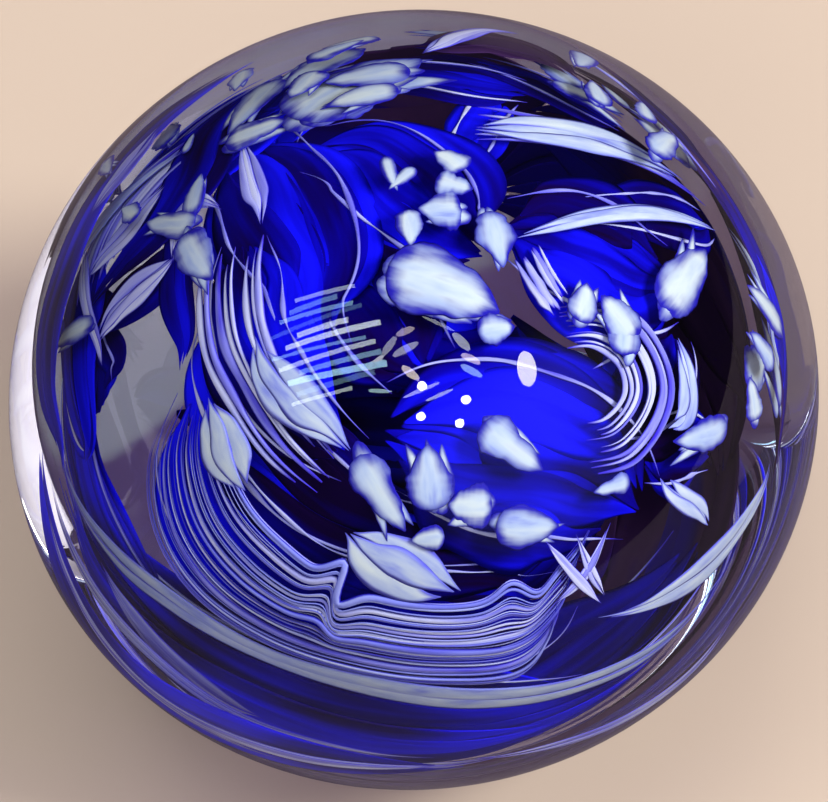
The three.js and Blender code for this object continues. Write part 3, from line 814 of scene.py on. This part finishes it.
def lay_drawn():
    """The streaks of colour that lie nearer to the surface than the gather."""
    # dark streaks take the near-black copy of the cobalt, painted shade
    kinds = {"blue": (COBALT, "cobalt_glass"), "dark": (SHADED_COBALT, "cobalt_glass"), "pale": (VEIL, "opal_glass")}
    for index, (kind, scale, places) in enumerate(DRAWN):
        ways, widths = along_places(places, RINGS_A_PLACE * len(places))
        lift = -DRAWN_LEVEL * (index % LEVELS)
        overlap = 2.0 if kind == "pale" else 3.0
        solid = bundle(ways, widths, strand_count(places), RIBBON_THICKNESS, scale, lift,
                       seed=500 + index, stagger=0.12, overlap=overlap, tones=(0.2, 1))
        add_piece(numbered(f"drawn_{kind}", index), solid, *kinds[kind])


def zigzag(t, middle, width):
    """A push to one side and then the other about a place along a line."""
    off = (t - middle) / width
    return off * math.exp(-off * off / 2)


def feather_kink(t, share):
    """The two sharp zigzags pulled across the inner lines, half way along and near the end."""
    near = 0.34 * zigzag(t, 0.47 + 0.05 * share, 0.022) * max(0.0, 1 - share * 1.3)
    return near + 0.20 * zigzag(t, 0.80 - 0.05 * share, 0.03) * max(0.0, 1 - share * 2)


def lay_feather():
    """The combed feather: its white lines, and a paler veil of lines just under them."""
    dice = random.Random(5)
    for name, glass, count, lift, nodes in (("feather_lines", COMBED, 24, FEATHER_LIFT, ["combed_feather"]),
                                            ("feather_veil", VEIL, 16, VEIL_LIFT, [])):
        shares = [(index + dice.uniform(-0.4, 0.4)) / (count - 1) for index in range(count)]
        widths = [dice.choice((0.10, 0.14, 0.20, 0.30, 0.55)) for _ in range(count)]
        solid = ruled_lines(FEATHER["inner"], FEATHER["outer"], shares, widths, lift, seed=11,
                            kink=feather_kink, rings=FEATHER_RINGS, grow=(0.6, 1.5))
        add_piece(name, solid, glass, "combed_glass", *nodes)


def lay_bands():
    """The other combed bands."""
    for order, (name, inner, outer, count, narrow, wide) in enumerate(BANDS):
        dice = random.Random(20 + order)
        shares = [(i + dice.uniform(-0.3, 0.3)) / (count - 1) for i in range(count)]
        widths = [dice.uniform(narrow, wide) for _ in range(count)]
        solid = ruled_lines(inner, outer, shares, widths, BAND_LIFT, seed=30 + order)
        add_piece(name, solid, VEIL, "combed_glass")


def lay_heart():
    """The wide ribbons round the heart."""
    for index, places in enumerate(DEEP_RIBBONS):
        ways, widths = along_places(places, DEEP_RINGS)
        solid = bundle(ways, widths, 9, DEEP_THICKNESS, DEEP_SCALE, 0,
                       seed=400 + index, stagger=0.3, overlap=3, tones=(0, 1), profile=pointed)
        nodes = [numbered("heart_ribbon", index)] if index < HEART_RIBBONS else []
        add_piece(numbered("deep_ribbon", index), solid, COBALT, "cobalt_glass", *nodes)


make_ball()
lay_ribbons()
lay_threads()
lay_strands()
lay_chips()
lay_drawn()
lay_feather()
lay_bands()
lay_heart()

# ---------------------------------------------------------------- stage, light and camera
# Lamps, windows and the camera have a place round the ball too, and their sizes are in metres.

TABLE_SIDE = 3.0
TABLE_DROP = 0.05 * MM
TABLE_COLOR = (0.37, 0.305, 0.255, 1)
MIRRORED_TABLE_COLOR = (0.10, 0.08, 0.09, 1)

LAMP_DISTANCE = 0.9
FILL_DISTANCE = 1.8
FILL_COLOR = (1.0, 0.95, 0.89)
# name, place, side, glow
FILLS = [
    ("side", (-18, 38), 0.56, 66),
    ("front", (-115, 34), 1.1, 4),
    ("top", (90, 80), 1.1, 4),
    ("left", (160, 62), 1.1, 2.5),
]
OVERHEAD = (-92, 69)  # the place of the blinds and the openings, which the top of the ball mirrors
SLATS = 12
SLAT_STEP = 0.042
SLAT_COLORS = ((0.45, 0.80, 1.0), (0.85, 0.97, 1.0))
OPENINGS = 12
OPENING_COLORS = ((0.6, 0.9, 1.0), (0.95, 1.0, 1.0), (1.0, 0.85, 0.75))
SPARKS = [(-83, 69), (-88, 61.5), (-64, 61), (-72, 56.5)]
SPARK_SIZE = 0.036

POOL_PLACE = (122, 46)
POOL_REACH = 0.026    # from the ball's axis to the middle of the patch
POOL_DISTANCE = 0.4
POOL_CONE = 2.8       # degrees

ROOM_COLOR = (0.15, 0.12, 0.14)
# place, the angles from its middle where it starts and ends to fade, color
WINDOWS = [
    ((-52, 42), 18, 36, (1.3, 1.274, 1.261)),
    ((90, 85), 20, 45, (0.05, 0.03, 0.10)),
]
MIRROR_LOSS = 0.8

CAMERA_PLACE = (-90, 55)
CAMERA_DISTANCE = 0.24
CAMERA_ROLL = -11
CAMERA_LENS = 104.6
CAMERA_AIM = CENTRE - Vector((0, 0.70, 0.49)) * MM


def mirror_share(tree):
    """1 for what the ball's surface mirrors, and 0 for what is seen through it."""
    path = tree.nodes.new("ShaderNodeLightPath")
    return sum_of(tree, path.outputs["Is Transmission Ray"], -1.0, path.outputs["Is Glossy Ray"])


def make_floor():
    """A plain pale table. The ball's surface mirrors it only faintly, as it does the room."""
    side = TABLE_SIDE / 2
    mesh = bpy.data.meshes.new("table")
    corners = [(x * side, y * side, -TABLE_DROP) for x, y in ((-1, -1), (1, -1), (1, 1), (-1, 1))]
    mesh.from_pydata(corners, [], [(0, 1, 2, 3)])
    floor = bpy.data.objects.new("table", mesh)
    bpy.context.scene.collection.objects.link(floor)
    material, tree, output = new_material("pale_table")
    surface = tree.nodes.new("ShaderNodeBsdfPrincipled")
    surface.inputs["Base Color"].default_value = TABLE_COLOR
    surface.inputs["Roughness"].default_value = 0.5
    mirrored = tree.nodes.new("ShaderNodeBsdfDiffuse")
    mirrored.inputs["Color"].default_value = MIRRORED_TABLE_COLOR
    mix = tree.nodes.new("ShaderNodeMixShader")
    tree.links.new(mirror_share(tree), mix.inputs["Fac"])
    tree.links.new(surface.outputs["BSDF"], mix.inputs[1])
    tree.links.new(mirrored.outputs["BSDF"], mix.inputs[2])
    tree.links.new(mix.outputs["Shader"], output.inputs["Surface"])
    mesh.materials.append(material)


def softbox(name, place, size, glow, color=(1, 1, 1), shift=(0, 0), shape="RECTANGLE", tilt=0,
            distance=LAMP_DISTANCE):
    """A lamp of even brightness that faces the ball. It shows in the glass and lights nothing else.

    The shift moves it across and up from its place, as seen from the ball.
    """
    width, height = size
    data = bpy.data.lights.new(name, "AREA")
    data.shape = shape
    data.size = width
    data.size_y = height
    data.energy = glow * math.pi * width * height
    data.color = color
    lamp = bpy.data.objects.new(name, data)
    bpy.context.scene.collection.objects.link(lamp)
    away = direction(*place)
    facing = away.to_track_quat("Z", "Y").to_matrix()
    lamp.location = CENTRE + away * distance + facing @ Vector((*shift, 0))
    lamp.rotation_euler = (facing @ Matrix.Rotation(math.radians(tilt), 3, "Z")).to_euler()
    lamp.visible_diffuse = False
    return lamp


def light_overhead():
    """What the top of the ball mirrors: blinds, openings and four small lamps."""
    dice = random.Random(3)
    for slat in range(SLATS):
        softbox(f"slat_{slat}", OVERHEAD, (dice.uniform(0.22, 0.44), dice.uniform(0.014, 0.03)),
                dice.uniform(2, 13), dice.choice(SLAT_COLORS),
                (dice.uniform(-0.36, -0.24), 0.50 - SLAT_STEP * slat), tilt=dice.uniform(-4, 4))
    for opening in range(OPENINGS):
        tint = dice.choice(OPENING_COLORS)
        softbox(f"opening_{opening}", OVERHEAD, (dice.uniform(0.06, 0.16), dice.uniform(0.015, 0.04)),
                dice.uniform(3, 9), tint, (dice.uniform(-0.12, 0.28), dice.uniform(-0.05, 0.26)), "ELLIPSE",
                dice.uniform(-70, 70))
    softbox("opening_warm", OVERHEAD, (0.10, 0.16), 14, (1.0, 0.95, 0.72), (0.50, 0.02), "ELLIPSE")
    for index, place in enumerate(SPARKS):
        softbox(f"spark_{index}", place, (SPARK_SIZE, SPARK_SIZE), 30, shape="ELLIPSE")


def hide_from_glass(lamp):
    """Lets a lamp light the table and the colour, and keeps it out of what the glass shows."""
    lamp.visible_diffuse = True
    lamp.visible_glossy = False
    lamp.visible_transmission = False


def light_scene():
    """Large soft lamps, the strongest on the right."""
    for name, place, side, glow in FILLS:
        hide_from_glass(softbox(name, place, (side, side), glow, FILL_COLOR, distance=FILL_DISTANCE))


def light_pool():
    """The bright patch that a glass ball gathers on the table, which shows through its left side."""
    data = bpy.data.lights.new("pool", "SPOT")
    data.energy = 220
    data.color = (0.50, 0.72, 1.0)
    data.spot_size = math.radians(POOL_CONE)
    data.spot_blend = 1
    data.shadow_soft_size = 0.02
    lamp = bpy.data.objects.new("pool", data)
    bpy.context.scene.collection.objects.link(lamp)
    hide_from_glass(lamp)
    bearing, _ = POOL_PLACE
    away = direction(*POOL_PLACE)
    lamp.location = direction(bearing, 0) * POOL_REACH + away * POOL_DISTANCE
    lamp.rotation_euler = away.to_track_quat("Z", "Y").to_euler()


def make_world():
    """A dim mauve room with a large soft window and a dark patch overhead."""
    world = bpy.data.worlds.new("studio")
    world.use_nodes = True
    tree = world.node_tree
    back = tree.nodes["Background"]
    around = tree.nodes.new("ShaderNodeTexCoord")
    color = None
    for place, inner, outer, tint in WINDOWS:
        toward = tree.nodes.new("ShaderNodeVectorMath")
        toward.operation = "DOT_PRODUCT"
        toward.inputs[1].default_value = direction(*place)
        tree.links.new(around.outputs["Generated"], toward.inputs[0])
        fade = tree.nodes.new("ShaderNodeMapRange")
        fade.interpolation_type = "SMOOTHSTEP"
        fade.inputs["From Min"].default_value = math.cos(math.radians(outer))
        fade.inputs["From Max"].default_value = math.cos(math.radians(inner))
        tree.links.new(toward.outputs["Value"], fade.inputs["Value"])
        mix = tree.nodes.new("ShaderNodeMix")
        mix.data_type = "RGBA"
        if color:
            tree.links.new(color, mix.inputs[6])
        else:
            mix.inputs[6].default_value = (*ROOM_COLOR, 1)
        mix.inputs[7].default_value = (*tint, 1)
        tree.links.new(fade.outputs["Result"], mix.inputs[0])
        color = mix.outputs[2]
    tree.links.new(color, back.inputs["Color"])
    # the ball's surface mirrors the room only faintly, and what is seen through it is a bit brighter
    path = tree.nodes.new("ShaderNodeLightPath")
    strength = sum_of(tree, path.outputs["Is Transmission Ray"], MIRROR_LOSS, 1.0)
    strength = sum_of(tree, path.outputs["Is Glossy Ray"], -MIRROR_LOSS, strength)
    tree.links.new(strength, back.inputs["Strength"])
    bpy.context.scene.world = world


def make_camera():
    """A camera at the photo's angle, with the photo's tilt."""
    data = bpy.data.cameras.new("camera")
    camera = bpy.data.objects.new("camera", data)
    bpy.context.scene.collection.objects.link(camera)
    away = direction(*CAMERA_PLACE)
    camera.location = CAMERA_AIM + away * CAMERA_DISTANCE
    look = away.to_track_quat("Z", "Y").to_matrix()
    camera.rotation_euler = (look @ Matrix.Rotation(math.radians(CAMERA_ROLL), 3, "Z")).to_euler()
    data.lens = CAMERA_LENS
    data.sensor_width = 36
    data.clip_start = 0.01
    bpy.context.scene.camera = camera


make_floor()
make_world()
light_overhead()
light_scene()
light_pool()
make_camera()

bpy.context.scene.view_settings.view_transform = "Standard"
# light passes many layers of glass, and its caustics would never come clean
cycles = bpy.context.scene.cycles
cycles.transparent_max_bounces = 24
cycles.max_bounces = 32
cycles.transmission_bounces = 24
cycles.glossy_bounces = 24
cycles.caustics_refractive = False
cycles.caustics_reflective = False
